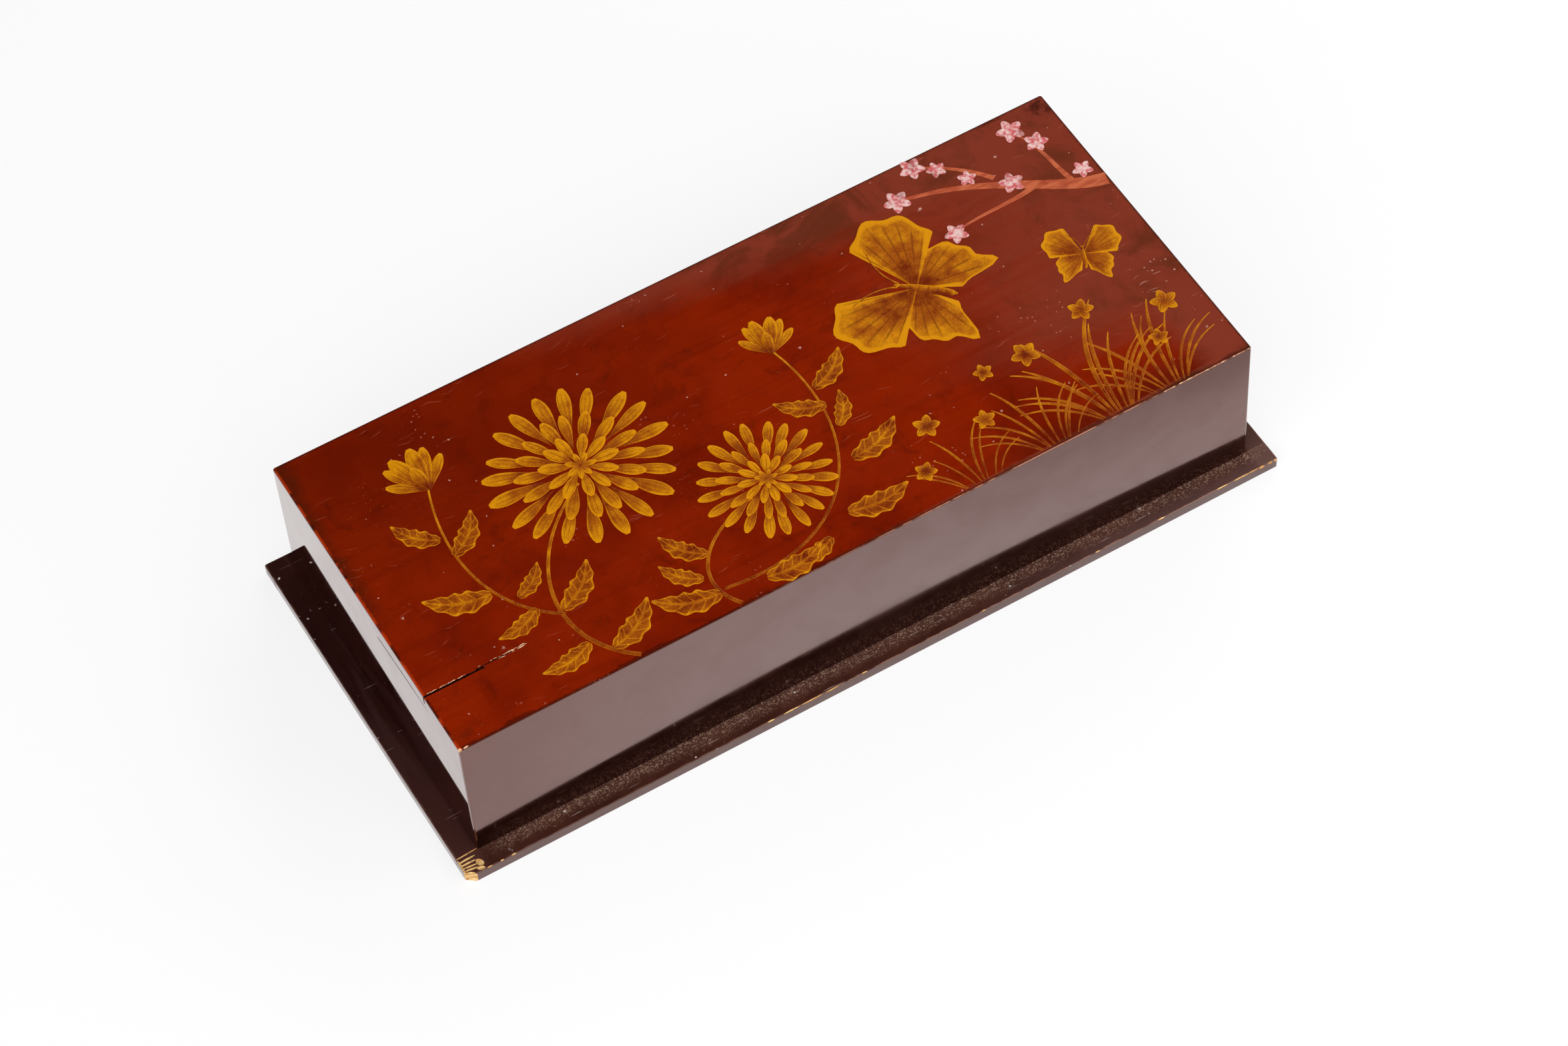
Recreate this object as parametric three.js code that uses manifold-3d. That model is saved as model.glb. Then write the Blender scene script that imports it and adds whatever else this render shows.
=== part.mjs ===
// A lacquered wooden box. A deep lid of five boards drops over a tray of four boards, which
// stands on a wider base board. Blind bamboo dowels pin every joint, as iron nails would
// rust and lift the lacquer.
// Millimetres, +Z up. The origin is on the table under the middle of the box, X runs along
// the length, and the front faces -Y.
import * as THREE from "three";
import { mergeVertices } from "three/addons/utils/BufferGeometryUtils.js";
import Module from "manifold-3d";

// The lid, whose sides show from outside
const lidLength = 304;
const lidWidth = 133;
const lidHeight = 59.9;
const lidWall = 6;
const lidTopThickness = 6;
const lidCornerRadius = 0.9;
const lidArrisRadius = 0.6;

// The tray, which the lid drops over
const trayWall = 5;
const trayCornerRadius = 1.4;
const trayArrisRadius = 0.8;

// The base board, which projects on all four sides
const baseThickness = 4.75;
const baseOverhang = 8;
const baseCornerRadius = 0.8;
const baseArrisRadius = 0.5;

// The front left corner of the base board is knocked off
const chipAlongFront = 3.6;
const chipAlongSide = 2.7;
const chipBite = 0.4;

// How the pieces meet
const lidPlay = 0.75;
const lidSeatGap = 0.1;
const lidHeadroom = 11;
const glueLine = 0.05;

// The dowels: whittled bamboo with eight flats, in drilled round holes
const dowelDiameter = 2.4;
const dowelLength = 12;
const dowelPoint = 0.4;
const dowelFit = 0.3;
const dowelEndPlay = 0.3;
const dowelInFace = 3;
const cornerDowelInset = 11;
const longEdgeDowelInset = 35;
const shortEdgeDowelInset = 38;

// How finely the round shapes are stepped, and how far a cutting solid runs past the wood
const leastRadius = 0.2;
const cutOverrun = 1;
const cornerSteps = 4;
const arrisSteps = 3;
const dowelFlats = 8;
const holeSides = 12;

// Heights and plan sizes that follow from the sizes above
const lidFoot = baseThickness + lidSeatGap;
const lidTop = lidFoot + lidHeight;
const lidCeiling = lidTop - lidTopThickness;
const trayFoot = baseThickness + glueLine;
const trayTop = lidCeiling - lidHeadroom;
const trayLength = lidLength - 2 * (lidWall + lidPlay);
const trayWidth = lidWidth - 2 * (lidWall + lidPlay);
const baseLength = lidLength + 2 * baseOverhang;
const baseWidth = lidWidth + 2 * baseOverhang;

const wasm = await Module();
wasm.setup();

// Finishes

const finish = (color, roughness) => () =>
  new THREE.MeshStandardMaterial({ color, roughness, metalness: 0 });
const redLacquer = finish(0x7d200e, 0.22);
const darkLacquer = finish(0x33201d, 0.25);
const innerLacquer = finish(0x1f1412, 0.4);
const bamboo = finish(0xc8a468, 0.7);

// Solids

function solid(geometry) {
  const bare = geometry.clone().deleteAttribute("normal").deleteAttribute("uv");
  const merged = mergeVertices(bare);
  return new wasm.Manifold(
    new wasm.Mesh({
      numProp: 3,
      vertProperties: new Float32Array(merged.attributes.position.array),
      triVerts: new Uint32Array(merged.index.array),
    }),
  );
}

// A solid as a named mesh, whose own origin is at the place given
function named(name, shape, place, material) {
  const data = shape.translate(place.map((v) => -v)).getMesh();
  const geometry = new THREE.BufferGeometry();
  geometry.setAttribute("position", new THREE.BufferAttribute(data.vertProperties, 3));
  geometry.setIndex(new THREE.BufferAttribute(data.triVerts, 1));
  geometry.computeVertexNormals();
  const mesh = new THREE.Mesh(geometry, material);
  mesh.name = name;
  mesh.position.set(...place);
  return mesh;
}

function roundedRectangle(length, width, radius) {
  const x = length / 2 - radius;
  const y = width / 2 - radius;
  const outline = new THREE.Shape();
  outline.absarc(x, y, radius, 0, Math.PI / 2);
  outline.absarc(-x, y, radius, Math.PI / 2, Math.PI);
  outline.absarc(-x, -y, radius, Math.PI, 1.5 * Math.PI);
  outline.absarc(x, -y, radius, 1.5 * Math.PI, 2 * Math.PI);
  outline.closePath();
  return outline;
}

// A block from z = foot to z = top with its upright corners and its top and bottom edges eased
function easedBlock(length, width, foot, top, cornerRadius, arrisRadius) {
  const radius = Math.max(cornerRadius - arrisRadius, leastRadius);
  const outline = roundedRectangle(length - 2 * arrisRadius, width - 2 * arrisRadius, radius);
  const block = new THREE.ExtrudeGeometry(outline, {
    depth: top - foot - 2 * arrisRadius,
    bevelSize: arrisRadius,
    bevelThickness: arrisRadius,
    bevelSegments: arrisSteps,
    curveSegments: cornerSteps,
  });
  return solid(block.translate(0, 0, foot + arrisRadius));
}

// Boards: each is a plain block, trimmed to the eased outside that it shares with the rest

function board(name, low, high, outside, material) {
  const size = high.map((v, i) => v - low[i]);
  const centre = high.map((v, i) => (v + low[i]) / 2);
  const block = new THREE.BoxGeometry(...size).translate(...centre);
  return { name, centre, material, shape: solid(block).intersect(outside) };
}

// Four boards on edge: the front and back run the full length, and the ends stand between them
function frameBoards(prefix, length, width, wall, foot, top, outside, material) {
  const x = length / 2;
  const y = width / 2;
  const end = y - wall - glueLine;
  return [
    board(prefix + "_front", [-x, -y, foot], [x, wall - y, top], outside, material),
    board(prefix + "_back", [-x, y - wall, foot], [x, y, top], outside, material),
    board(prefix + "_left", [-x, -end, foot], [wall - x, end, top], outside, material),
    board(prefix + "_right", [x - wall, -end, foot], [x, end, top], outside, material),
  ];
}

function lidBoards() {
  // The outside runs on below the lid, so that its lower rounding falls away
  const below = lidFoot - 2 * lidArrisRadius;
  const outside = easedBlock(
    lidLength, lidWidth, below, lidTop, lidCornerRadius, lidArrisRadius);
  const low = [-lidLength / 2, -lidWidth / 2, lidCeiling];
  const high = [lidLength / 2, lidWidth / 2, lidTop];
  return [
    board("lid_top", low, high, outside, redLacquer),
    ...frameBoards(
      "lid", lidLength, lidWidth, lidWall, lidFoot, lidCeiling - glueLine, outside, darkLacquer),
  ];
}

function trayBoards() {
  const below = trayFoot - 2 * trayArrisRadius;
  const outside = easedBlock(
    trayLength, trayWidth, below, trayTop, trayCornerRadius, trayArrisRadius);
  return frameBoards(
    "tray", trayLength, trayWidth, trayWall, trayFoot, trayTop, outside, innerLacquer);
}

// The piece that broke off the corner: a ragged line between two points on the board's edges
function brokenCorner() {
  const x = -baseLength / 2;
  const y = -baseWidth / 2;
  const outline = new THREE.Shape([
    new THREE.Vector2(x - cutOverrun, y - cutOverrun),
    new THREE.Vector2(x + chipAlongFront, y - cutOverrun),
    new THREE.Vector2(x + chipAlongFront, y),
    new THREE.Vector2(x + chipAlongFront / 2, y + chipAlongSide / 2 + chipBite),
    new THREE.Vector2(x + chipAlongFront / 4, y + chipAlongSide / 2 + chipBite / 2),
    new THREE.Vector2(x, y + chipAlongSide),
    new THREE.Vector2(x - cutOverrun, y + chipAlongSide),
  ]);
  const depth = baseThickness + 2 * cutOverrun;
  return solid(new THREE.ExtrudeGeometry(outline, { depth, bevelEnabled: false })
    .translate(0, 0, -cutOverrun));
}

function baseBoard() {
  const whole = easedBlock(
    baseLength, baseWidth, 0, baseThickness, baseCornerRadius, baseArrisRadius);
  return {
    name: "base_board",
    centre: [0, 0, baseThickness / 2],
    material: darkLacquer,
    shape: whole.subtract(brokenCorner()),
  };
}

// Dowels: each has a middle and an axis, along Y or Z

const alongY = new THREE.Matrix4();
const alongZ = new THREE.Matrix4().makeRotationX(Math.PI / 2);

function dowelSolid(dowel) {
  const radius = dowelDiameter / 2;
  const half = dowelLength / 2;
  const profile = [
    new THREE.Vector2(0, -half),
    new THREE.Vector2(radius - dowelPoint, -half),
    new THREE.Vector2(radius, dowelPoint - half),
    new THREE.Vector2(radius, half - dowelPoint),
    new THREE.Vector2(radius - dowelPoint, half),
    new THREE.Vector2(0, half),
  ];
  return solid(new THREE.LatheGeometry(profile, dowelFlats)
    .applyMatrix4(dowel.axis).translate(...dowel.middle));
}

function dowelHole(dowel) {
  const radius = dowelDiameter / 2 + dowelFit;
  const depth = dowelLength + 2 * dowelEndPlay;
  return solid(new THREE.CylinderGeometry(radius, radius, depth, holeSides)
    .applyMatrix4(dowel.axis).translate(...dowel.middle));
}

// Two dowels in each corner of a frame, through the end board's end into the long board's face
function cornerDowels(prefix, length, width, wall, foot, top) {
  const x = length / 2 - wall / 2;
  const y = width / 2 - wall + dowelInFace - dowelLength / 2;
  const levels = { lower: foot + cornerDowelInset, upper: top - cornerDowelInset };
  const dowels = [];
  for (const [face, toFace] of [["front", -1], ["back", 1]])
    for (const [end, toEnd] of [["left", -1], ["right", 1]])
      for (const [level, z] of Object.entries(levels))
        dowels.push({
          name: `${prefix}_corner_dowel_${face}_${end}_${level}`,
          middle: [toEnd * x, toFace * y, z],
          axis: alongY,
        });
  return dowels;
}

// Upright dowels along a frame's edge, which hold a flat board to it. seam is the height where
// they meet, and toFlat is 1 where the flat board lies above and -1 where it lies below.
function edgeDowels(prefix, length, width, wall, seam, toFlat) {
  const z = seam + toFlat * (dowelInFace - dowelLength / 2);
  const x = length / 2 - longEdgeDowelInset;
  const y = width / 2 - shortEdgeDowelInset;
  const dowels = [];
  const add = (side, number, middle) =>
    dowels.push({ name: `${prefix}_dowel_${side}_${number}`, middle, axis: alongZ });
  for (const [side, toSide] of [["front", -1], ["back", 1]])
    [-x, 0, x].forEach((place, i) =>
      add(side, i + 1, [place, toSide * (width / 2 - wall / 2), z]));
  for (const [side, toSide] of [["left", -1], ["right", 1]])
    [-y, y].forEach((place, i) =>
      add(side, i + 1, [toSide * (length / 2 - wall / 2), place, z]));
  return dowels;
}

// The assembly

const lidDowels = [
  ...cornerDowels("lid", lidLength, lidWidth, lidWall, lidFoot, lidCeiling - glueLine),
  ...edgeDowels("lid_top", lidLength, lidWidth, lidWall, lidCeiling, 1),
];
const trayDowels = [
  ...cornerDowels("tray", trayLength, trayWidth, trayWall, trayFoot, trayTop),
  ...edgeDowels("tray_foot", trayLength, trayWidth, trayWall, baseThickness, -1),
];

// A group of boards, drilled for their dowels, and the dowels themselves
function assemble(name, boards, dowels) {
  const group = new THREE.Group();
  group.name = name;
  const holes = dowels.map(dowelHole).reduce((all, hole) => all.add(hole));
  for (const { name: part, shape, centre, material } of boards)
    group.add(named(part, shape.subtract(holes), centre, material()));
  for (const dowel of dowels)
    group.add(named(dowel.name, dowelSolid(dowel), dowel.middle, bamboo()));
  return group;
}

const box = new THREE.Group();
box.name = "lacquer_box";
box.add(assemble("base", [baseBoard(), ...trayBoards()], trayDowels));
box.add(assemble("lid", lidBoards(), lidDowels));

export default box;
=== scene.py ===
# %% [markdown]
# # A lacquered box with a deep lid
#
# The box is made of thin wooden boards under many coats of lacquer. Its deep red-topped lid
# drops over a black tray, and the tray stands on a wider base board. The CAD model holds every
# board and dowel at its real size, so this lesson never moves or resizes one. It gives them
# their finish, and makes again, in finer detail, the boards whose wear shows.

# %% Load the boards
import random
from math import atan, atan2, cos, degrees, exp, log, pi, radians, sin

import bmesh
import bpy
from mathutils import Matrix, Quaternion, Vector


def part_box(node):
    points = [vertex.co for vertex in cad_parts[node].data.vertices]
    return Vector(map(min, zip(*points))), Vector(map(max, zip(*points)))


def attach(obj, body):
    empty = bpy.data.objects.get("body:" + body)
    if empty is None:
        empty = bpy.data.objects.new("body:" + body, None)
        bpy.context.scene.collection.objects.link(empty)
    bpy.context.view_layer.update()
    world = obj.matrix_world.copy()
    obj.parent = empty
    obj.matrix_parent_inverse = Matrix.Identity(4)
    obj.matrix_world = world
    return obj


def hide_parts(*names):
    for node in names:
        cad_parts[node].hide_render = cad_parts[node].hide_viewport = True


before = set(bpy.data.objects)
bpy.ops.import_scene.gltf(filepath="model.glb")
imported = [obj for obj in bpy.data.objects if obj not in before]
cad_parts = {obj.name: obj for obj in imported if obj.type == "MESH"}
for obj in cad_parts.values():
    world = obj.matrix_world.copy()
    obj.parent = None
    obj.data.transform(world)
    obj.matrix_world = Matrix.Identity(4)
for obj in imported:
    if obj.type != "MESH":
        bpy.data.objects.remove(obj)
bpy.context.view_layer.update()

# %% [markdown]
# ## The camera
#
# A long lens from well above, a little left of the front, shows the lid's top and two of its
# sides with almost no perspective. Three angles and an aim point say that plainly: the way
# round the box, the height above the table, and a slight tilt of the picture.

# %% Set up the camera
MM = 0.001
camera_round = radians(-26.87)
camera_height = radians(54.37)
camera_tilt = radians(-4.45)
camera_distance = 1632.5 * MM
camera_aim = Vector((2.5, -3.5, 0.1)) * MM
back = Vector((
    sin(camera_round) * cos(camera_height),
    -cos(camera_round) * cos(camera_height),
    sin(camera_height),
))
turned = back.to_track_quat("Z", "Y") @ Quaternion((0, 0, 1), camera_tilt)
bpy.ops.object.camera_add(
    location=camera_aim + back * camera_distance, rotation=turned.to_euler())
camera = bpy.context.object
camera.data.lens = 108.1
camera.data.sensor_width = 36
bpy.context.scene.camera = camera
bpy.context.scene.view_settings.view_transform = "Standard"
print("Camera at", tuple(round(c, 4) for c in camera.location))

# %% [markdown]
# ## Working by hand, in code
#
# Each new piece starts as a primitive that is added at its size and place, and is then shaped
# in edit mode. An operator works on all that is selected, so each step begins with nothing
# selected, and picks its faces or edges by where they are.

# %% Helpers for modelling
whisker = 1e-7


def mm(x, y, z):
    return Vector((x, y, z)) * MM


def edit():
    """Opens the active piece for editing, or keeps it open, with its whole mesh selected."""
    bpy.ops.object.mode_set(mode="EDIT")
    bpy.ops.mesh.select_all(action="SELECT")


def done():
    bpy.ops.object.mode_set(mode="OBJECT")


def hold(*pieces):
    """Selects these pieces alone. The last one is the active one."""
    bpy.ops.object.select_all(action="DESELECT")
    for piece in pieces:
        piece.select_set(True)
        bpy.context.view_layer.objects.active = piece


def settle(name, finish=None):
    """Names the new piece, and puts its place, turn and scale into its mesh."""
    bpy.ops.object.transform_apply()
    piece = bpy.context.object
    piece.name = piece.data.name = name
    if finish:
        piece.data.materials.append(finish)
    return piece


def add_block(name, low, high, finish):
    hold()
    bpy.ops.mesh.primitive_cube_add(size=1, location=(low + high) / 2, scale=high - low)
    return settle(name, finish)


def pick(kind, wanted):
    """In edit mode, selects the vertices, edges or faces that pass a test, and no others."""
    bpy.ops.mesh.select_mode(type=kind)
    bpy.ops.mesh.select_all(action="DESELECT")
    mesh = bpy.context.object.data
    shape = bmesh.from_edit_mesh(mesh)
    for part in {"VERT": shape.verts, "EDGE": shape.edges, "FACE": shape.faces}[kind]:
        if wanted(part):
            part.select_set(True)
    shape.select_flush_mode()
    bmesh.update_edit_mesh(mesh)


def level(edge, height):
    return all(abs(v.co.z - height) < whisker for v in edge.verts)


def upright(edge):
    way = edge.verts[0].co - edge.verts[1].co
    return abs(way.x) + abs(way.y) < whisker


def shake(offset, seed):
    """Moves every vertex of the active piece a little at random."""
    edit()
    bpy.ops.transform.vertex_random(offset=offset, seed=seed)
    done()


def tip(degrees, axis, about):
    """Turns the active piece's whole mesh about a point."""
    edit()
    bpy.ops.transform.rotate(value=radians(degrees), orient_axis=axis, center_override=about)
    done()


def apply_modifier(piece, kind, **settings):
    hold(piece)
    modifier = piece.modifiers.new(kind.title(), kind)
    for name, value in settings.items():
        setattr(modifier, name, value)
    bpy.ops.object.modifier_apply(modifier=modifier.name)


def smooth(piece, degrees=35):
    """Shades the eased edges round and keeps the boards' faces flat."""
    hold(piece)
    bpy.ops.object.shade_smooth_by_angle(angle=radians(degrees))
    apply_modifier(piece, "WEIGHTED_NORMAL", keep_sharp=True)


# %% [markdown]
# ## Helpers for finishes
#
# A finish is a tree of nodes, and one tree at a time is in hand. A short function adds a node
# and fills its inputs. What runs from node to node is a wire, and a sum or product of wires is
# one more node. Patterns read Object or UV coordinates, so they stay on the wood when the lid
# moves. Lengths are in millimetres, and colours are as a screen shows them, from 0 to 255.

# %% Helpers for node trees


class Wire:
    """A value on its way to the next node. Arithmetic with it adds Math nodes."""

    def __init__(self, socket):
        self.socket = socket

    def __getitem__(self, output):
        """The wire from another output of the same node."""
        return Wire(self.socket.node.outputs[output])

    def __add__(self, other):
        return maths("ADD", self, other)

    def __sub__(self, other):
        return maths("SUBTRACT", self, other)

    def __rsub__(self, other):
        return maths("SUBTRACT", other, self)

    def __mul__(self, other):
        return maths("MULTIPLY", self, other)

    def __abs__(self):
        return maths("ABSOLUTE", self)


def fill(socket, value):
    if isinstance(value, Wire):
        tree.links.new(value.socket, socket)
    else:
        socket.default_value = value


def put(kind, inputs=(), **choices):
    """Adds a node, makes its choices, fills its inputs, and gives its first output's wire."""
    node = tree.nodes.new("ShaderNode" + kind)
    for name, value in choices.items():
        setattr(node, name, value)
    for name, value in dict(inputs).items():
        fill(node.inputs[name], value)
    return Wire(node.outputs[0])


def maths(operation, *values):
    return put("Math", enumerate(values), operation=operation)


def clamped(wire):
    return put("Clamp", {"Value": wire})


def largest(wire, *others):
    for other in others:
        wire = maths("MAXIMUM", wire, other)
    return wire


def between(value, low, high, to_low=0.0, to_high=1.0):
    """Fades smoothly from to_low, where value is low, to to_high, where it is high."""
    inputs = {"Value": value, "From Min": low, "From Max": high,
              "To Min": to_low, "To Max": to_high}
    return put("MapRange", inputs, interpolation_type="SMOOTHSTEP")


def as_light(red, green, blue):
    """A colour as a screen shows it, turned into the light that a shader reckons with."""
    light = [((c / 255 + 0.055) / 1.055) ** 2.4 if c > 10 else c / 255 / 12.92
             for c in (red, green, blue)]
    return (*light, 1)


def mixed(share, first, second):
    """The first colour, with the second laid over it by its share."""
    first, second = (c if isinstance(c, Wire) else as_light(*c) for c in (first, second))
    return put("Mix", {0: share, 6: first, 7: second}, data_type="RGBA")[2]


def layered(ground, *layers):
    """The ground with layers over it, each with its share and its colour."""
    for share, tone in layers:
        ground = mixed(share, ground, tone)
    return ground


def measures(place):
    """How far the place is along x, y and z, in millimetres."""
    split = put("SeparateXYZ", {"Vector": place})
    return [split[axis] * (1 / MM) for axis in range(3)]


def mapped(place, **changes):
    inputs = {name.title(): value for name, value in changes.items()}
    return put("Mapping", {"Vector": place, **inputs})


def noise(place, per_metre, detail=3, rough=0.5, stretch=(1, 1, 1), shift=(0, 0, 0), warp=0):
    """Noise with so many features to the metre, stretched along an axis by a share below 1."""
    inputs = {"Vector": mapped(place, scale=stretch, location=shift), "Scale": per_metre,
              "Detail": detail, "Roughness": rough, "Distortion": warp}
    return put("TexNoise", inputs)


def patchy(place, per_metre, low, high, to_low=0.0, to_high=1.0, **kind):
    """Patches: noise of some kind that fades between two of its values."""
    return between(noise(place, per_metre, **kind), low, high, to_low, to_high)


def ruffled(place, per_metre, by):
    """The place, shifted by noise, so that lines read from it bend and dots get ragged."""
    drift = put("TexNoise", {"Vector": place, "Scale": per_metre})["Color"]
    inputs = {0: drift, 1: (by * MM, by * MM, by * MM), 2: place}
    return put("VectorMath", inputs, operation="MULTIPLY_ADD")


def marked_cells(place, per_metre, share, outer, inner, dimensions="3D"):
    """Marks the middles of a share of random cells, drawn by lot with each cell's colour."""
    inputs = {"Vector": place, "Scale": per_metre}
    cells = put("TexVoronoi", inputs, voronoi_dimensions=dimensions)
    lot = put("SeparateColor", {"Color": cells["Color"]})
    return between(cells["Distance"], outer, inner) * maths("LESS_THAN", lot, share)


def specks(place, per_metre, radius, share, seed=0):
    """Scattered dots. Each cell may hold one dot of up to that radius, and a share of them do."""
    reach = radius * MM * per_metre
    moved = mapped(place, location=(seed, seed, seed))
    return marked_cells(moved, per_metre, share, reach, reach / 2)


def scratches(place, turn, per_metre, share, seed=0):
    """Fine straight scratches, as very long cells that are seen almost edge on."""
    moved = mapped(place, rotation=(0, 0, radians(turn)), scale=(0.05, 1, 1),
                   location=(seed, seed, 0))
    return marked_cells(moved, per_metre, share, 0.06, 0.02, "2D")


def crossing(place, share, *sets):
    """Sets of scratches that cross, each with its turn, its number to the metre and its seed."""
    return largest(*[scratches(place, turn, fine, share, seed) for turn, fine, seed in sets])


def smudge(place, x, y, wide, deep):
    """A soft oval on a level face, 1 in its middle. Wide and deep are its half sizes."""
    moved = mapped(place, scale=(1 / (wide * MM), 1 / (deep * MM), 0),
                   location=(-x / wide, -y / deep, 0))
    return put("TexGradient", {"Vector": moved}, gradient_type="SPHERICAL")["Fac"]


def bump(height, strength, depth, under=None):
    inputs = {"Height": height, "Strength": strength, "Distance": depth * MM}
    if under:
        inputs["Normal"] = under
    return put("Bump", inputs)


def new_finish(name):
    """Takes a new material's tree in hand, and gives the material and the place on the piece."""
    global tree
    material = bpy.data.materials.new(name)
    material.use_nodes = True
    tree = material.node_tree
    return material, put("TexCoord")["Object"]


def connect(node="Principled BSDF", **inputs):
    """Fills a node's inputs by name. A name like base_color stands for the input Base Color."""
    sockets = tree.nodes[node].inputs
    for name, value in inputs.items():
        fill(next(s for s in sockets if s.name.lower().replace(" ", "_") == name), value)


# %% [markdown]
# ## The table and the light
#
# The box stands on a white glossy sheet in a white studio. Most of the floor's white is its own
# glow, which only the camera and mirrored rays see, so that it lights nothing. Under the glow is
# a polished grey, which takes a faint shadow. All other light meets a plain pale surface.

# %% Lay the floor
hold()
bpy.ops.mesh.primitive_plane_add(size=12, location=mm(0, 0, -0.05))
floor = settle("floor")
material, place = new_finish("white_sheet")
path = put("LightPath")
seen = largest(*[path[f"Is {kind} Ray"] for kind in ("Camera", "Glossy", "Transmission")])
connect(base_color=(0.25, 0.25, 0.25, 1), roughness=0.03,
        emission_color=(1, 0.99, 0.992, 1), emission_strength=0.775)
plain = put("BsdfDiffuse", {"Color": (0.85, 0.85, 0.85, 1)})
glowing = Wire(tree.nodes["Principled BSDF"].outputs[0])
connect("Material Output", surface=put("MixShader", {0: seen, 1: plain, 2: glowing}))
floor.data.materials.append(material)
print("Floor laid")

# %% [markdown]
# Big soft lamps stand in front, at both sides and low at the back right, where one lamp keeps
# the far side from going dark and lays a faint shadow towards the front. Polished lacquer would
# mirror such lamps as white patches, which hide its colour from one side or another, so the
# lamps are kept out of mirrored rays. What the lacquer mirrors is the white floor and the room,
# which is dark overhead and paler towards the horizon.

# %% Set up the lamps
lamps = {
    "key_left": ((-1000, -600, 1000), 1300, 15.0),
    "fill_front": ((250, -1300, 800), 1500, 14.5),
    "fill_right": ((1100, -200, 900), 1200, 7.0),
    "back_right": ((1000, 950, 650), 1100, 9.0),
}
for name, (stand, size, power) in lamps.items():
    hold()
    spot = mm(*stand)
    aim = (spot - mm(0, 0, 30)).to_track_quat("Z", "Y")
    bpy.ops.object.light_add(type="AREA", location=spot, rotation=aim.to_euler())
    light = bpy.context.object
    light.name = light.data.name = name
    light.data.size = size * MM
    light.data.energy = power
    light.visible_glossy = False
world = bpy.data.worlds.new("studio")
world.use_nodes = True
bpy.context.scene.world = world
tree = world.node_tree
way = put("SeparateXYZ", {"Vector": put("TexCoord")["Generated"]})
room = between(way["Z"], 0.25, 0.7, 0.3, 0.0)
connect("Background", color=(1, 1, 1, 1), strength=room)
print("Lamps:", ", ".join(lamps))

# %% [markdown]
# ## Red lacquer
#
# The top's lacquer is a deep red glaze over a darker ground, so it isn't one red. It is cloudy,
# faintly streaked along the board where it was brushed and rubbed down, and darker towards the
# back left. A dull brownish haze over the right third and in a streaky band along the back edge
# is a painted sheen, which stands in for a reflection. The edges are rubbed through to the dark
# ground, most of all in front, where a pale line towards the right is a painted highlight on
# the arris. Years of use have left fine scratches and pale specks.

# %% Mix the red lacquer
lid_low, lid_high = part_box("lid_top")
end_x = lid_high.x / MM
back_y = lid_high.y / MM
front_y = -back_y


def near_edges(across, halves, start, stop, ragged=0, least=0):
    """Fades in towards the edges of a board, from start to stop millimetres inside them."""
    return largest(*[between(abs(wire) + ragged, half - start, half - stop, least, 1)
                     for wire, half in zip(across, halves)])


def sheen_haze(place, x, y):
    """A painted sheen: a dull brown haze over the right third, a band along the back and one front
    corner.
    """
    streaks = noise(place, 260, stretch=(0.05, 1, 1), shift=(0, 3, 0))
    wavy = noise(place, 28, detail=4, rough=0.6, shift=(5, 0, 0))
    reach = x + wavy * 50 + streaks * 60 + smudge(place, 152, -56, 24, 34) * 200
    at_back = between(y, 38, 68, 0, 120)
    towards_front = between(y, -20, -66, 0, -110)
    front_edge = between(y, -63.5, -65.5, 0, 170)
    return between(reach + at_back + towards_front + front_edge, 85, 195)


def red_ground(place, x, y):
    """The red: clouds and brush streaks, darker at the back left and the front right, under a painted
    sheen.
    """
    clouds = patchy(place, 24, 0.34, 0.66, detail=5, rough=0.62)
    left = x + noise(place, 9, detail=2, shift=(2, 2, 0)) * 60
    dim = between(left, 60, -95) * between(y, -45, 55, 0.05, 0.5)
    low_right = between(y, -54, -63, 0, 0.7) * between(x, 20, 90)
    streaks = patchy(place, 420, 0.48, 0.75, 0, 0.25, stretch=(0.03, 1, 1))
    blotches = patchy(place, 75, 0.52, 0.72, 0, 0.5, detail=4, rough=0.7, shift=(3, 1, 0), warp=1)
    browner = patchy(place, 38, 0.46, 0.66, detail=4, rough=0.65, shift=(9, 4, 0), warp=0.8)
    brown = mixed(browner, (134, 54, 36), (106, 46, 27))
    # The last layer is a painted sheen: a dull brownish haze that stands in for a reflection.
    return layered((142, 33, 2), (clouds, (118, 23, 2)), (largest(dim, low_right), (92, 20, 3)),
                   (streaks, (92, 15, 2)), (blotches, (86, 18, 4)), (sheen_haze(place, x, y), brown))


def rub_through(place, x, y):
    """How far the edges are worn: 1 on the arris, with a ragged inner border."""
    ragged = noise(place, 900, detail=4, rough=0.7)
    inner = near_edges((x, y), (end_x, back_y), 0.5, -0.5, ragged * 1.6)
    patches = patchy(place, 50, 0.42, 0.6, 0, 3, shift=(0, 2, 0))
    smudged = between(y - front_y - patches * ragged, 0.8, 0, 0, 0.7)
    return largest(inner, smudged)


def worn_edges_and_highlight(place, x, y, red):
    """Rubbed edges, dark and orange in patches on the left, with a painted highlight: pale in front
    towards the right.
    """
    left = between(x, 1.6 - end_x, 0.9 - end_x)
    left = left * patchy(place, 120, 0.42, 0.56, shift=(0, 6, 0))
    # A painted highlight: the pale line along the front arris, towards the right.
    arris = between(y, front_y + 0.5, front_y + 0.2) * between(x, -60, 60)
    arris = arris * patchy(place, 260, 0.4, 0.55, 0.15, 0.8, shift=(8, 0, 0))
    edge = layered((44, 14, 7), (left, (190, 58, 14)), (arris, (214, 150, 118)))
    return mixed(rub_through(place, x, y) * 0.8, red, edge)


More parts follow.
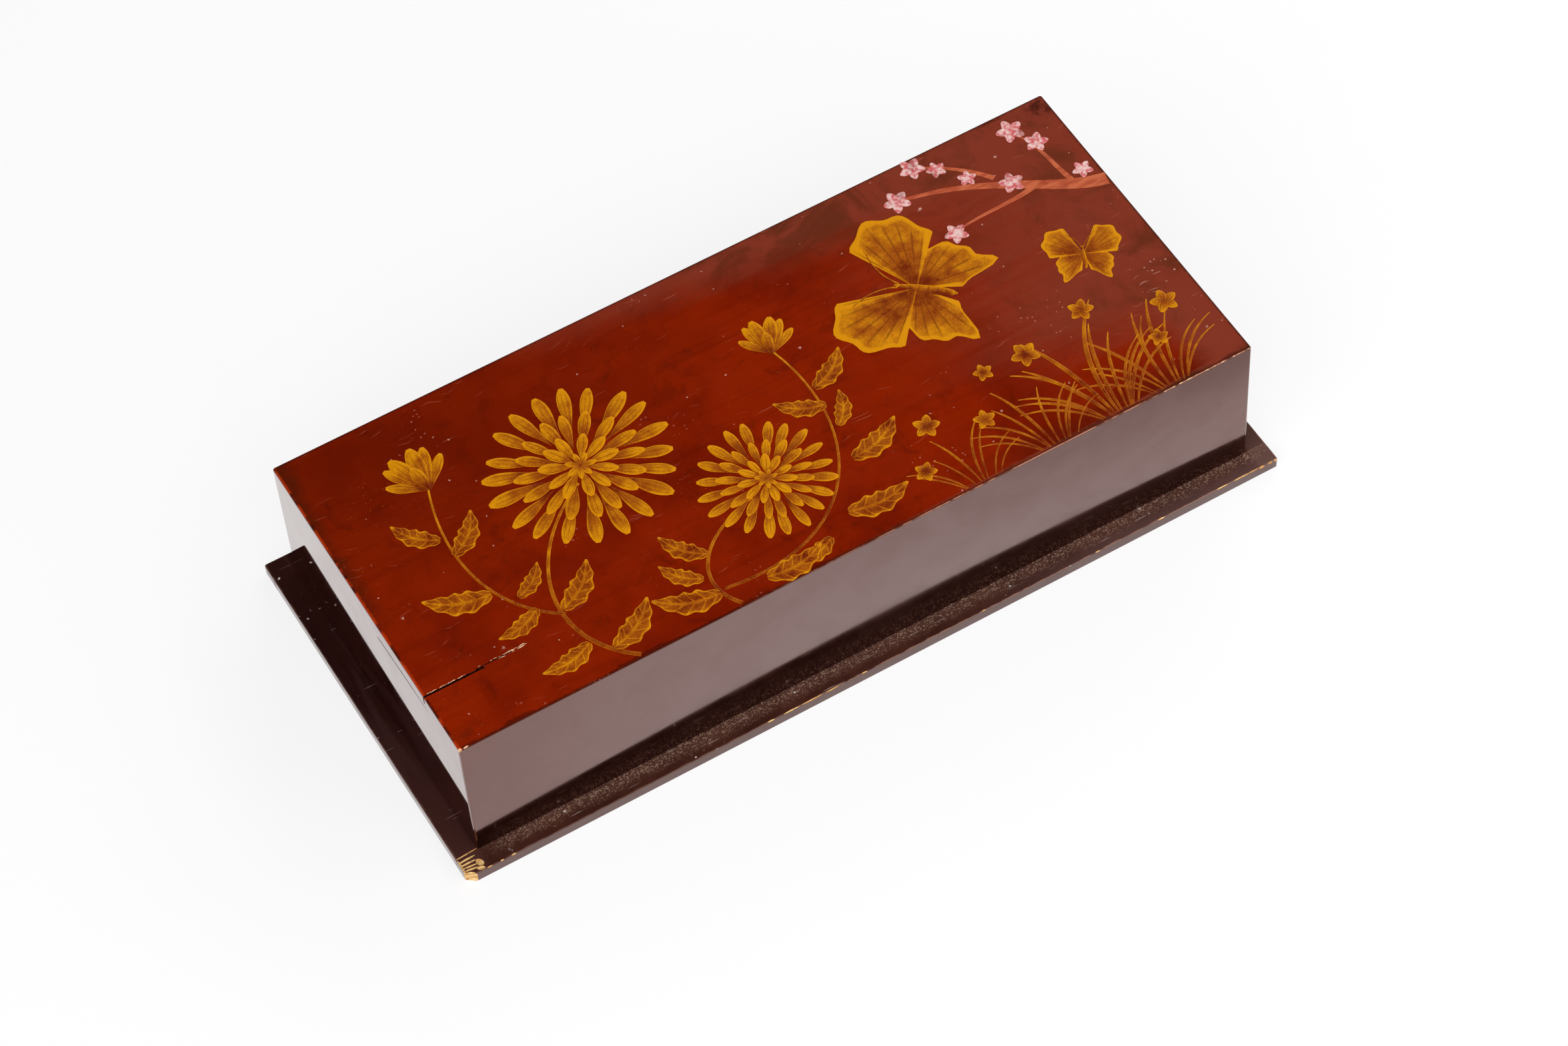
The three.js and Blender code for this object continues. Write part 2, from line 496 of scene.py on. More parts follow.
def make_red_lacquer():
    material, place = new_finish("red_lacquer")
    x, y, _ = measures(place)
    stained = x + noise(place, 70, detail=4, rough=0.65, shift=(0, 6, 0)) * 16
    stained = between(stained, 14 - end_x, 8 - end_x) * between(y, -20, 10)
    red = mixed(stained * 0.5, red_ground(place, x, y), (48, 24, 8))
    bent = ruffled(place, 60, 12)
    ragged = ruffled(place, 1500, 0.9)
    marks = crossing(bent, 0.12, (-52, 280, 5), (80, 400, 9), (8, 250, 14), (-24, 360, 18),
                     (55, 300, 22), (-75, 240, 31), (40, 420, 37))
    marks = largest(marks, scratches(bent, 28, 330, 0.14))
    marks = marks * patchy(place, 60, 0.42, 0.62, detail=4, rough=0.7, shift=(7, 7, 0))
    scuffs = largest(crossing(bent, 0.45, (66, 620, 41), (-30, 520, 43)),
                     specks(ragged, 640, 0.4, 0.3, seed=12))
    scuffs = scuffs * between(smudge(place, 143, -27, 15, 19), 0.1, 0.7, 0, 0.9)
    stains = largest(smudge(place, 149.5, 62.5, 10, 8), smudge(place, 132, 66.5, 12, 3),
                     smudge(place, -146, -62, 16, 7) * 0.45)
    mottled = patchy(place, 330, 0.36, 0.6, detail=4, rough=0.7, shift=(6, 2, 0))
    stains = between(stains, 0.1, 0.75) * mottled
    dots = largest(specks(ragged, 260, 0.4, 0.13), specks(ragged, 90, 0.8, 0.18, seed=3))
    crowded = patchy(place, 34, 0.6, 0.72, detail=2, shift=(4, 4, 0))
    crowd = specks(ragged, 620, 0.42, 0.3, seed=15) * crowded
    drift = patchy(place, 16, 0.5, 0.7, detail=2, shift=(1, 8, 0))
    dust = specks(place, 900, 0.2, 0.25, seed=7) * drift
    red = layered(
        worn_edges_and_highlight(place, x, y, red), (marks * 0.45, (182, 98, 74)), (scuffs, (214, 172, 156)),
        (stains * 0.8, (52, 20, 12)), (dots * 0.8, (214, 164, 148)),
        (crowd * 0.7, (196, 116, 100)), (dust * 0.6, (206, 118, 22)))
    haze = patchy(place, 60, 0.3, 0.7, 0.16, 0.26, detail=4, rough=0.6, shift=(2, 5, 0))
    waves = bump(noise(place, 26, detail=1), 0.5, 0.05)
    connect(base_color=red, roughness=haze, coat_weight=0.5, coat_roughness=0.08,
            normal=bump(marks, 0.15, -0.02, under=waves))
    return material


red_lacquer = make_red_lacquer()
print("Mixed", red_lacquer.name)

# %% [markdown]
# ## Dark lacquer
#
# The lid's sides have a brown-black lacquer that is polished like a piano. What one sees there
# is mostly the white studio, mirrored more strongly the flatter one looks along it. The colour
# itself is almost black, and the brown is in the mirroring: the lacquer under the clear coat
# gets a high index of refraction and a reddish tint. The ends are polished brighter than the
# long sides, and their dark ground is painted paler, a painted sheen that makes them read
# lighter. Old boards are never quite flat, and a mirror shows it: each leans out a little
# more in one place than in another, so the base board's image on it is bowed. The long front
# has gone dull high at its right end. The base board's own edges are duller still.
#
# The base board's top is brown. It lies flat, so grit and dust have gathered on it along the
# lid. Its edges are pale, partly rubbed and partly a painted highlight along the arris.

# %% Mix the dark lacquer


def dark_ground(place, pale, deep):
    clouds = patchy(place, 40, 0.35, 0.7, detail=4, rough=0.6)
    brushed = patchy(place, 500, 0.55, 0.85, 0, 0.3, detail=2, stretch=(0.04, 1, 1))
    return layered(pale, (clouds, deep), (brushed, (32, 15, 11)))


def leaning(along, height, lean, twist, bow):
    """A board's warp: how much its face leans out, which changes along the board."""
    along = along * MM
    return bump(((along * bow + twist) * along + lean) * height, 1.0, 1)


def make_dark_lacquer(name, rough, coat_rough, ior=2.2, coat=0.92, coat_ior=1.5,
                      warp=None, brown=9):
    """Polished lacquer. Rough gives its roughness where it is smoothest and where it is dullest."""
    material, place = new_finish(name)
    x, y, z = measures(place)
    dark = dark_ground(place, (brown, brown * 0.35, brown * 0.25), (7, 3, 2))
    torn = ruffled(place, 1200, 1.2)
    dents = largest(specks(torn, 110, 0.5, 0.08), specks(torn, 300, 0.24, 0.03, seed=4))
    smears = noise(place, 55, detail=4, rough=0.6, warp=0.6)
    dark = layered(dark, (dents * 0.7, (150, 130, 120)),
                   (between(smears, 0.52, 0.75, 0, 0.5), (16, 7, 5)))
    long_side = maths("COMPARE", abs(y), back_y, 1)
    foot = between(z, 15.5, 11) * long_side
    dull = between(z, 12, 70) * between(x, -100, 158, 0.15, 1)
    dull = dull * long_side * maths("LESS_THAN", y, 0)
    skin = leaning((x, y)[warp[0]], z, *warp[1:]) if warp else None
    skin = bump(noise(place, 34, detail=1), coat_rough * 2, 0.04, under=skin)
    skin = bump(dents, 0.5, -0.03, under=skin)
    gloss = clamped(between(smears, 0.35, 0.7, coat, coat - 0.12) - foot * 0.45)
    connect(base_color=dark, normal=skin, coat_normal=skin, ior=ior, coat_ior=coat_ior,
            roughness=between(smears, 0.3, 0.7, *rough) + dull * 0.4,
            coat_weight=clamped(gloss - dull * 0.5), coat_roughness=coat_rough,
            specular_tint=(1.0, 0.33, 0.24, 1))
    return material


def dust_band(place, x, y):
    """Grit on the base board, thickest in front, where it lies against the lid."""
    ragged = noise(place, 160, detail=4) * 3 - 1.5
    front = between(y + ragged, front_y - 6.4, front_y - 1.8)
    not_behind = maths("LESS_THAN", y, front_y + 0.2)
    band = front * not_behind * between(x, -end_x - 1, 16 - end_x, 0.1, 1)
    grit = largest(specks(place, 1300, 0.42, 0.3, seed=2), specks(place, 2400, 0.24, 0.35, seed=8))
    return band * grit, band


def hazy_board(place, x, y, grit, band):
    """The base board's top: hazy in front, outside on the right and at both ends, and gritty."""
    dark = dark_ground(place, (46, 19, 15), (38, 15, 12))
    patches = patchy(place, 60, 0.35, 0.65, 0.45, 1.0, detail=4, rough=0.65)
    in_front = between(y, front_y + 2, front_y - 1) * patches
    right = between(x, end_x - 1, end_x + 2) * between(y, 20, -50, 0.2, 0.6)
    outside = between(y, front_y - 2, front_y - 7) * between(x, 20, 110, 0, 0.45)
    left = between(x, 2 - end_x, -1 - end_x)
    streaky = patchy(place, 120, 0.5, 0.7, 0, 0.5, detail=4, rough=0.65,
                     stretch=(1, 0.12, 1), shift=(0, 9, 0))
    return layered(
        dark, (in_front * 0.85, (82, 46, 36)), (band * 0.4, (100, 66, 54)),
        (grit * 0.75, (164, 132, 112)), (right, (104, 74, 66)), (outside, (112, 84, 80)),
        (left * between(y, 5, -50, 0.1, 0.6), (84, 50, 46)), (left * streaky, (76, 48, 46)))


def make_base_lacquer():
    material, place = new_finish("base_lacquer")
    x, y, _ = measures(place)
    grit, band = dust_band(place, x, y)
    dark = hazy_board(place, x, y, grit, band)
    torn = ruffled(place, 1500, 1.1)
    crumbs = crossing(place, 0.25, (64, 380, 3), (-70, 380, 8), (20, 380, 12), (-15, 380, 17))
    crumbs = largest(crumbs, specks(torn, 420, 0.34, 0.4), specks(torn, 140, 0.7, 0.22, seed=6))
    drift = patchy(place, 50, 0.38, 0.62, shift=(3, 0, 0))
    rim = near_edges((x, y), (end_x, back_y), 8, 0, least=0.12)
    crumbs = crumbs * drift * rim
    dust = specks(torn, 190, 0.55, 0.3, seed=19) * rim
    # The pale edge is partly rubbed wear and partly a painted highlight on the arris.
    ragged = noise(place, 300) * 1.2 - 0.6
    rubbed = near_edges((x, y), (board_x, board_y), 0.55, 0.1, ragged)
    rubbed = rubbed * between(x, -90, 0, 0.3, 0.75)
    dark = layered(dark, (crumbs * 0.8, (184, 166, 158)), (dust * 0.9, (226, 214, 206)),
                   (rubbed, (150, 112, 96)))
    connect(base_color=dark, roughness=band * 0.35 + 0.22,
            normal=bump(largest(grit, crumbs), 0.5, 0.03), coat_weight=0.15, coat_roughness=0.12)
    return material


base_low, base_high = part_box("base_board")
board_x, board_y, board_top = (c / MM for c in base_high)
dark_lacquer = make_dark_lacquer("dark_lacquer", (0.08, 0.15), 0.07, warp=(0, 0.05, 0, -3.9))
# The ends' ground, brown 42 against 9 on the long sides, is painted paler: a painted sheen.
end_lacquer = make_dark_lacquer(
    "end_lacquer", (0.03, 0.06), 0.02, coat=1.0, coat_ior=1.7, warp=(1, -0.008, 0.29, 0), brown=42)
edge_lacquer = make_dark_lacquer("edge_lacquer", (0.15, 0.3), 0.1, ior=1.9, coat=0.62)
base_lacquer = make_base_lacquer()
print("Mixed the dark lacquers and", base_lacquer.name)

# %% [markdown]
# ## The wood and the inside
#
# Where the lacquer has chipped deep, pale straight-grained wood shows, and where only the upper
# coats are gone, the grey-pink priming does. The split and the hairline are lined with near-black,
# which is partly old dirt and partly painted shade in the narrow cut. The inside is a plainer,
# duller black, and the hidden dowels are split bamboo, with fibres along their length.

# %% Mix the wood, the inner lacquer and the bamboo
bare_grain = {"per_metre": 900, "detail": 4, "stretch": (0.06, 1, 1)}
bamboo_fibres = {"per_metre": 2500, "stretch": (1, 1, 0.1)}
rough_layer = {"per_metre": 1300, "detail": 4, "rough": 0.7}


def make_plain(name, grain, pale, dark, low, high, rough, depth, stain=None):
    """Dull stuff, from pale to dark along its grain, and stained in places if a colour is given."""
    material, place = new_finish(name)
    grain = noise(place, **grain)
    tone = mixed(between(grain, low, high), pale, dark)
    if stain:
        tone = mixed(patchy(place, 700, 0.54, 0.7, 0, 0.6, shift=(4, 0, 0)), tone, stain)
    connect(base_color=tone, roughness=rough, normal=bump(grain, *depth))
    return material


def rub_rim(place, black):
    """Scratched upright where the lid slides, and rubbed brown at the rim."""
    height = measures(place)[2]
    slid = patchy(place, 900, 0.58, 0.75, stretch=(1, 1, 0.03), shift=(0, 0, 4))
    slid = slid * between(height, 10, 44)
    ragged = noise(place, 240, detail=4, rough=0.65, shift=(2, 0, 0))
    worn = between(ragged * 1.6 + height, tray_top + 0.3, tray_top + 0.9)
    return layered(black, (slid * 0.4, (104, 80, 70)), (worn * 0.7, (112, 70, 48)))


def make_inner_lacquer(name, rubbed_rim=False):
    material, place = new_finish(name)
    clouds = noise(place, 50, detail=4)
    brushed = noise(place, 600, detail=2, stretch=(0.05, 1, 1))
    black = layered(
        (38, 22, 18), (between(clouds, 0.3, 0.7), (26, 14, 12)),
        (between(brushed, 0.5, 0.8, 0, 0.5), (50, 31, 26)),
        (specks(place, 220, 0.3, 0.08) * 0.5, (120, 105, 96)))
    if rubbed_rim:
        black = rub_rim(place, black)
    connect(base_color=black, roughness=between(clouds, 0.3, 0.7, 0.28, 0.42),
            normal=bump(brushed, 0.3, 0.03), coat_weight=0.2, coat_roughness=0.2)
    return material


bare_wood = make_plain("bare_wood", bare_grain, (240, 205, 140), (196, 138, 72),
                       0.35, 0.7, 0.75, (0.6, 0.1), stain=(96, 50, 28))
priming = make_plain("priming", rough_layer, (240, 200, 162), (150, 98, 70),
                     0.48, 0.68, 0.8, (0.6, 0.08))
# Near-black for the cracks: partly old dirt, partly painted shade in the narrow cut.
dirt_and_shade = make_plain("dirt_and_shade", rough_layer, (46, 26, 20), (14, 7, 5), 0.4, 0.6, 0.8, (0.6, 0.08))
bamboo = make_plain("bamboo", bamboo_fibres, (214, 186, 128), (160, 120, 66),
                    0.35, 0.7, 0.65, (0.5, 0.1))
tray_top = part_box("tray_front")[1].z / MM
inner_lacquer = make_inner_lacquer("inner_lacquer")
tray_lacquer = make_inner_lacquer("tray_lacquer", rubbed_rim=True)
for name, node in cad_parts.items():
    node.data.materials.clear()
    node.data.materials.append(bamboo if "dowel" in name else tray_lacquer)
print("Finished the tray and the dowels")

# %% [markdown]
# ## Chips
#
# Lacquer doesn't wear through evenly: it flies off in flakes where an edge is knocked. A flake is
# a rough pebble, squashed to the flake's size, sunk in the edge and cut out of the board. The
# pebble is made of bare wood, and the cut keeps its material, so the chip shows wood.

# %% Helpers for chips


def flake(place, size, turn=0.0, seed=0, shows=bare_wood):
    """A rough pebble of that size in millimetres, turned about the upright."""
    hold()
    bpy.ops.mesh.primitive_ico_sphere_add(
        subdivisions=2, radius=0.5, location=mm(*place), scale=mm(*size),
        rotation=(0, 0, radians(turn)))
    pebble = settle(f"flake_{seed}", shows)
    shake(0.09 * min(size) * MM, seed)
    return pebble


def cut_out(board, cutters):
    """Cuts the pebbles out of a board, all at once."""
    hold(*cutters)
    bpy.ops.object.join()
    cutter = bpy.context.object
    apply_modifier(board, "BOOLEAN", operation="DIFFERENCE", object=cutter, solver="EXACT",
                   use_self=True, material_mode="TRANSFER")
    bpy.data.objects.remove(cutter)


def ease(edges, radius, segments):
    """In edit mode, rounds the edges that pass a test."""
    pick("EDGE", edges)
    bpy.ops.mesh.bevel(offset=radius, offset_type="OFFSET", segments=segments, affect="EDGES")


def finish_faces(piece, finish, wanted):
    """Gives a finish of their own to the faces that pass a test."""
    hold(piece)
    piece.data.materials.append(finish)
    piece.active_material_index = len(piece.data.materials) - 1
    edit()
    pick("FACE", wanted)
    bpy.ops.object.material_slot_assign()
    done()


# %% [markdown]
# ## The base board
#
# A plain board with eased edges. Its front left corner is knocked off, and round the break the
# lacquer has come away in strips along the grain. Small flakes are gone along the front edge.

# %% Make the base board
base_corner = 0.8 * MM
base_arris = 0.5 * MM
break_turn = radians(-37)
base_board = add_block("base_board_lacquered", base_low, base_high, base_lacquer)
edit()
ease(upright, base_corner, 6)
ease(lambda e: level(e, base_high.z) or level(e, base_low.z), base_arris, 4)
done()
finish_faces(base_board, edge_lacquer, lambda f: f.normal.z < 0.4)


def corner_break():
    """A rough block that lies along the break, and takes the corner off."""
    middle = mm(0.6 - board_x, -board_y - 0.25, board_top / 2)
    block = add_block("break", middle - mm(4, 2, 5), middle + mm(4, 2, 5), bare_wood)
    edit()
    bpy.ops.mesh.subdivide(number_cuts=5)
    done()
    shake(0.22 * MM, 4)
    block.rotation_euler.z = break_turn
    block.location = middle - Quaternion((0, 0, 1), break_turn) @ middle
    return settle("break")


knocked_off = [corner_break()]
strips = [(-156.0, -66.1, 8.6, 0.55, 3), (-157.0, -68.0, 6.8, 0.85, 3), (-157.3, -69.5, 6.2, 0.85, 0),
          (-157.2, -70.9, 5.8, 0.85, -6), (-157.0, -72.2, 5.4, 0.8, -9), (-158.2, -73.5, 3.6, 1.3, -30),
          (-153.6, -71.2, 2.4, 3.4, 20), (-154.2, -73.4, 2.8, 1.6, -20), (-160.0, -69.9, 1.5, 7.4, 0)]
for number, (x, y, length, width, turn) in enumerate(strips):
    knocked_off.append(flake((x, y, board_top), (length, width, 0.55), turn, number + 3))
front_chips = [(-151.5, 2.2), (-146.9, 1.4), (-142.5, 1.8), (-44, 3), (-36, 7), (-28, 9), (-20, 6),
               (-7.4, 2.4), (40, 1.5), (86, 2), (112, 3), (137, 5), (145, 7), (150, 5)]
deep_chips = [(153.5, 3.6), (156.8, 2.8), (159.0, 1.6)]
for chips, inset, sunk, across, seed in ((front_chips, 0.2, 0.2, (0.5, 0.45), 20),
                                         (deep_chips, 0.3, 0.6, (0.9, 1.3), 40)):
    for number, (x, length) in enumerate(chips, seed):
        place = (x, inset - board_y, board_top - sunk)
        knocked_off.append(flake(place, (length, *across), seed=number))
cut_out(base_board, knocked_off)
smooth(base_board)
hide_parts("base_board")
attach(base_board, "base")
print("Base board:", len(base_board.data.polygons), "faces")

# %% [markdown]
# ## The lid's sides
#
# The front and back boards run the full length, so they carry the rounded upright corners, and
# the end boards stand between them. Their lower edges are just eased. The faces that look
# inwards are finished in the plainer black. High on the left end the lacquer has parted in a
# ragged hairline, just under the glued top board.

# %% Make the lid's sides
lid_corner = 0.9 * MM
lid_arris = 0.6 * MM
foot_ease = 0.35 * MM
wall_thick = 6


def inward(face):
    """Whether a face looks at the middle of the box."""
    middle = face.calc_center_median()
    return face.normal.xy.dot(middle.xy) < -0.5 * middle.xy.length


def lid_side(node):
    long_board = node in ("lid_front", "lid_back")
    low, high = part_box(node)
    high.z = lid_low.z
    if not long_board:
        low.y = (wall_thick - back_y) * MM
        high.y = -low.y
    finish = dark_lacquer if long_board else end_lacquer
    side = add_block(node + "_lacquered", low, high, finish)
    edit()
    if long_board:
        outer = low.y if node == "lid_front" else high.y
        ease(lambda e: upright(e) and abs(e.verts[0].co.y - outer) < 1e-6, lid_corner, 7)
    ease(lambda e: level(e, low.z), foot_ease, 3)
    done()
    finish_faces(side, inner_lacquer, inward)
    if long_board:
        finish_faces(side, end_lacquer, lambda f: abs(f.normal.x) > 0.7)
    return side


def ragged_bar(name, low, high, cuts, offset):
    """A thin bar along one axis, cut into short lengths that are shaken a little out of line."""
    # Its near-black, partly dirt and partly painted shade, lines the cut that the bar makes.
    bar = add_block(name, low, high, dirt_and_shade)
    longest = max(high - low)
    edit()
    pick("EDGE", lambda e: (e.verts[0].co - e.verts[1].co).length > 0.9 * longest)
    bpy.ops.mesh.subdivide(number_cuts=cuts)
    done()
    shake(offset, 8)
    return bar


lid_sides = {node: lid_side(node) for node in ("lid_front", "lid_back", "lid_left", "lid_right")}
hairline = ragged_bar("hairline", mm(-152.6, -44, 56.85), mm(-151.4, -8, 57.55), 40, 0.12 * MM)
tip(2.7, "X", mm(-152, -8, 57.2))
cut_out(lid_sides["lid_left"], [hairline])
for node, side in lid_sides.items():
    smooth(side)
    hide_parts(node)
    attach(side, "lid")
print("Lid sides:", ", ".join(lid_sides))

# %% [markdown]
# ## The lid's top board
#
# The top has eased edges and a split. The split starts in the left end, where the board dried
# out, follows the grain and closes after 33 mm. It is cut out of the board with two long thin
# wedges. Small flakes are gone along its edges at the front corners, and where the split runs
# and ends the lacquer is frayed.

# %% Make the lid's top
picture_rise = 0.19 * MM
ground_level = lid_high.z - picture_rise
lid_top_z = ground_level / MM
top_high = Vector((*lid_high.xy, ground_level))
lid_top = add_block("lid_top_lacquered", lid_low, top_high, red_lacquer)
edit()
ease(upright, lid_corner, 7)
ease(lambda e: level(e, ground_level), lid_arris, 6)
done()
finish_faces(lid_top, dark_lacquer, lambda f: f.normal.z < 0.4)
finish_faces(lid_top, end_lacquer, lambda f: f.normal.z < 0.4 and abs(f.normal.x) > 0.7)


def split_wedge(start, end, y, width):
    """A ragged wedge along the grain, deepest at its left end."""
    low, high = mm(start, y - width / 2, 60), mm(end, y + width / 2, 66)
    wedge = ragged_bar("split", low, high, 30, 0.16 * MM)
    tip(-2.6, "Y", mm(end, 0, lid_top_z))
    return wedge


lost = [flake((0.4 - end_x, front_y + 0.4, lid_top_z - 0.4), (2.2, 1.5, 1.2), 30, 60, priming),
        flake((2.8 - end_x, front_y + 0.5, lid_top_z - 0.2), (3.0, 0.8, 0.5), 4, 59, priming)]
draw = random.Random(3)
for number in range(24):
    x = 2 - end_x + 22 * number / 23 if number < 15 else -131 + 12 * (number - 15) / 8
    y = -41.72 if number < 15 else -41.25
    size = (draw.uniform(0.5, 1.5), draw.uniform(0.16, 0.36), 0.14)
    place = (x, y + draw.choice((-0.28, 0.3)) + draw.uniform(-0.08, 0.08), lid_top_z)
    lost.append(flake(place, size, draw.uniform(-15, 15), 61 + number, priming))
for number in range(24):
    place = (draw.uniform(-123, -114), -41.3 + draw.uniform(-0.5, 0.45), lid_top_z)
    size = (draw.uniform(1.2, 3.0), draw.uniform(0.1, 0.26), 0.1)
    lost.append(flake(place, size, draw.uniform(-14, 14), 120 + number, priming))
for number in range(11):
    x = end_x - 1 - 3.4 * number + draw.uniform(-0.9, 0.9)
    size = (draw.uniform(0.8, 2.4), draw.uniform(0.2, 0.5), 0.4)
    place = (x, front_y + 0.2, lid_top_z - 0.15)
    lost.append(flake(place, size, draw.uniform(-3, 3), 100 + number, priming))
wedges = [split_wedge(-end_x - 1, -129.6, -42.0, 0.75), split_wedge(-132.6, -119, -41.4, 0.36)]
cut_out(lid_top, wedges + lost)
smooth(lid_top)
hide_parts("lid_top")
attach(lid_top, "lid")
print("Lid top:", len(lid_top.data.polygons), "faces")

# %% [markdown]
# ## The gold picture
#
# The picture is raised lacquer: each petal, leaf and wing is built up hardly thicker than paper,
# and gold powder is sprinkled on it while it is wet, thickly at the outline and thinly inside.
# Each shape is a thin plate, made from a grid: its rows are taken one at a time from the
# workbench, widened, turned and laid on a line. The grid's own UV map then runs along and
# across each petal, which is what the gold finish needs to draw an outline and veins.

# %% Helpers for plates
bench = -0.5
sunk_level = ground_level - 0.005 * MM


def lay_rows(name, rows, columns, thick, lay):
    """A plate of rows. lay(t) gives the x, y, turn and width, in mm and degrees, of the row at t."""
    hold()
    bpy.ops.mesh.primitive_grid_add(
        x_subdivisions=columns, y_subdivisions=rows, size=1, location=(0, 0, bench))
    plate = settle(name)
    edit()
    for row in range(rows + 1):
        share = row / rows
        x, y, turn, width = lay(share)
        was = Vector((0, share - 0.5, bench))
        pick("VERT", lambda v: v.co.z < bench / 2 and abs(v.co.y - was.y) < 0.1 / rows)
        bpy.ops.transform.resize(value=(width * MM, 1, 1), center_override=was)
        bpy.ops.transform.rotate(
            value=-radians(turn), orient_axis="Z", center_override=was)
        bpy.ops.transform.translate(value=mm(x, y, 0) - was)
    edit()
    bpy.ops.mesh.extrude_region_move(TRANSFORM_OT_translate={"value": (0, 0, thick * MM)})
    edit()
    bpy.ops.mesh.normals_make_consistent(inside=False)
    done()
    return plate


laid = []


def stamp(template, x, y, turn=0.0, size=1.0, narrow=1.0):
    """A copy of a plate, laid on the lid. Each is built up a little more or less than the last."""
    laid.append(template)
    hold(template)
    bpy.ops.object.duplicate()
    copy = bpy.context.object
    copy.location = mm(x, y, 0) + Vector((0, 0, sunk_level))
    copy.rotation_euler.z = radians(turn)
    copy.scale = (size * narrow, size, 1 + 0.03 * (len(laid) % 9))
    bpy.ops.object.transform_apply()
    return copy


def along_curve(start, first_pull, second_pull, end, thick_start, thick_end):
    """Rows for a stem or a blade that follows a curve with two handles."""
    a, b, c, d = (Vector(p) for p in (start, first_pull, second_pull, end))

    def lay(t):
        at = (1 - t) ** 3 * a + 3 * t * (1 - t) ** 2 * b + 3 * t ** 2 * (1 - t) * c + t ** 3 * d
        way = (1 - t) ** 2 * (b - a) + 2 * t * (1 - t) * (c - b) + t ** 2 * (d - c)
        turn = degrees(atan2(way.y, way.x)) - 90
        return at.x, at.y, turn, thick_start + (thick_end - thick_start) * t

    return lay


def lay_strands(name, curves, rows, columns, thick, step):
    """A plate along each curve, each a step thicker than the last, laid on the lid."""
    plates = []
    for number, curve in enumerate(curves):
        plates.append(lay_rows(name, rows, columns, thick + step * number, along_curve(*curve)))
        plates[-1].location.z = sunk_level
    return plates


def gather(name, plates, finish):
    """Joins the plates into one piece of the picture, which moves with the lid."""
    hold(*plates)
    bpy.ops.object.join()
    piece = settle(name)
    piece.data.materials.clear()
    piece.data.materials.append(finish)
    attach(piece, "lid")
    print(name + ":", len(plates), "plates,", len(piece.data.polygons), "faces")


# %% [markdown]
# ## Gold powder
#
# The gold isn't a sheet of metal. It is powder under a clear coat: thick and bright at a petal's
# outline and tip, thin and amber inside, with red showing between the grains, and fine veins
# scratched through it with a needle. A wing is laid out as a fan, so its UV map is read the
# other way round.

# %% Mix the gold


def make_gold(name, veins, thin, thick, rim, ribs=0, fan=False):
    """Thin and thick are the amounts of powder at the root and the tip, rim what the outline adds."""
    material, place = new_finish(name)
    spread = put("SeparateXYZ", {"Vector": put("UVMap")})
    across, along = (spread[axis] for axis in ((1, 0) if fan else (0, 1)))
    from_middle = abs(across * 2 - 1)
    outline = largest(between(from_middle, 0.72, 0.95), between(along, 0.9, 0.98))
    clouds = noise(place, 170, detail=4, rough=0.6)
    powder = noise(place, 4200, detail=2, rough=0.7)
    amount = between(along, 0.0, 0.95, thin, thick) + outline * rim
    if ribs:
        slanted = along * ribs - from_middle * 0.9
        rib = between(maths("SINE", slanted * (2 * pi)), 0.7, 1)
        amount = amount + largest(rib, between(from_middle, 0.2, 0.08)) * 0.3
    grains = amount + clouds * 1.3 - 0.65 + powder * 1.2 - 0.6
    waves = maths("SINE", across * (2 * pi * veins))
    needle = between(waves, 0.7, 0.98) * between(along, 1, 0.7)
    gold = layered(
        (124, 34, 3), (between(grains, 0.1, 0.5), (182, 92, 12)),
        (between(grains, 0.45, 1.05), (244, 160, 8)), (needle * 0.55, (120, 46, 8)))
    skin = bump(1 - maths("POWER", from_middle, 3), 0.5, 0.15)
    skin = bump(powder, 0.25, 0.05, under=skin)
    connect(base_color=gold, roughness=between(powder, 0.3, 0.7, 0.3, 0.45),
            metallic=0.2, normal=skin, coat_weight=0.4, coat_roughness=0.12)
    return material


centre_gold = make_gold("centre_gold", veins=2, thin=0.5, thick=1.0, rim=0.2)
petal_gold = make_gold("petal_gold", veins=3, thin=0.2, thick=0.85, rim=0.35)
leaf_gold = make_gold("leaf_gold", veins=0, thin=0.35, thick=0.35, rim=0.45, ribs=6)
wing_gold = make_gold("wing_gold", veins=7, thin=0.2, thick=0.75, rim=0.5, fan=True)
line_gold = make_gold("line_gold", veins=0, thin=0.3, thick=0.6, rim=0.3)
print("Mixed five golds")

# %% [markdown]
# ## Chrysanthemums
#
# A chrysanthemum is rings of petals round a small eye. Outer petals are long and lie lowest, and
# each ring inside is shorter and a little higher, so that it covers the roots of the ring
# outside. One petal for each ring is modelled and copied, each copy a little off true, as
# a brush would make it.

# %% Make the flowers


def petal_rows(broadest, width):
    """A petal 10 mm long, broadest at that share of its length."""
    bend = log(0.5) / log(broadest)
    return lambda t: (0, 10 * t, 0, width * sin(pi * (0.03 + 0.94 * t) ** bend) ** 0.7)


templates = {
    "outer": lay_rows("outer_petal", 12, 6, 0.05, petal_rows(0.68, 2.5)),
    "middle": lay_rows("middle_petal", 12, 6, 0.08, petal_rows(0.66, 2.8)),
    "inner": lay_rows("inner_petal", 10, 6, 0.11, petal_rows(0.62, 3.6)),
    "eye": lay_rows("eye_petal", 8, 4, 0.15, petal_rows(0.55, 4.4)),
}
draw = random.Random(11)


def ring(template, centre, count, inner, outer, turn=0.0, lean=2.5):
    """Petals from one radius to another round a centre, each a little off true."""
    plates = []
    for number in range(count):
        angle = turn + 360 * number / count + draw.uniform(-lean, lean)
        way = Vector((-sin(radians(angle)), cos(radians(angle))))
        root = Vector(centre) + way * inner
        size = (outer - inner) / 10 * draw.uniform(0.92, 1.04)
        narrow = draw.uniform(0.92, 1.08)
        plates.append(stamp(templates[template], *root, angle, size, narrow))
    return plates


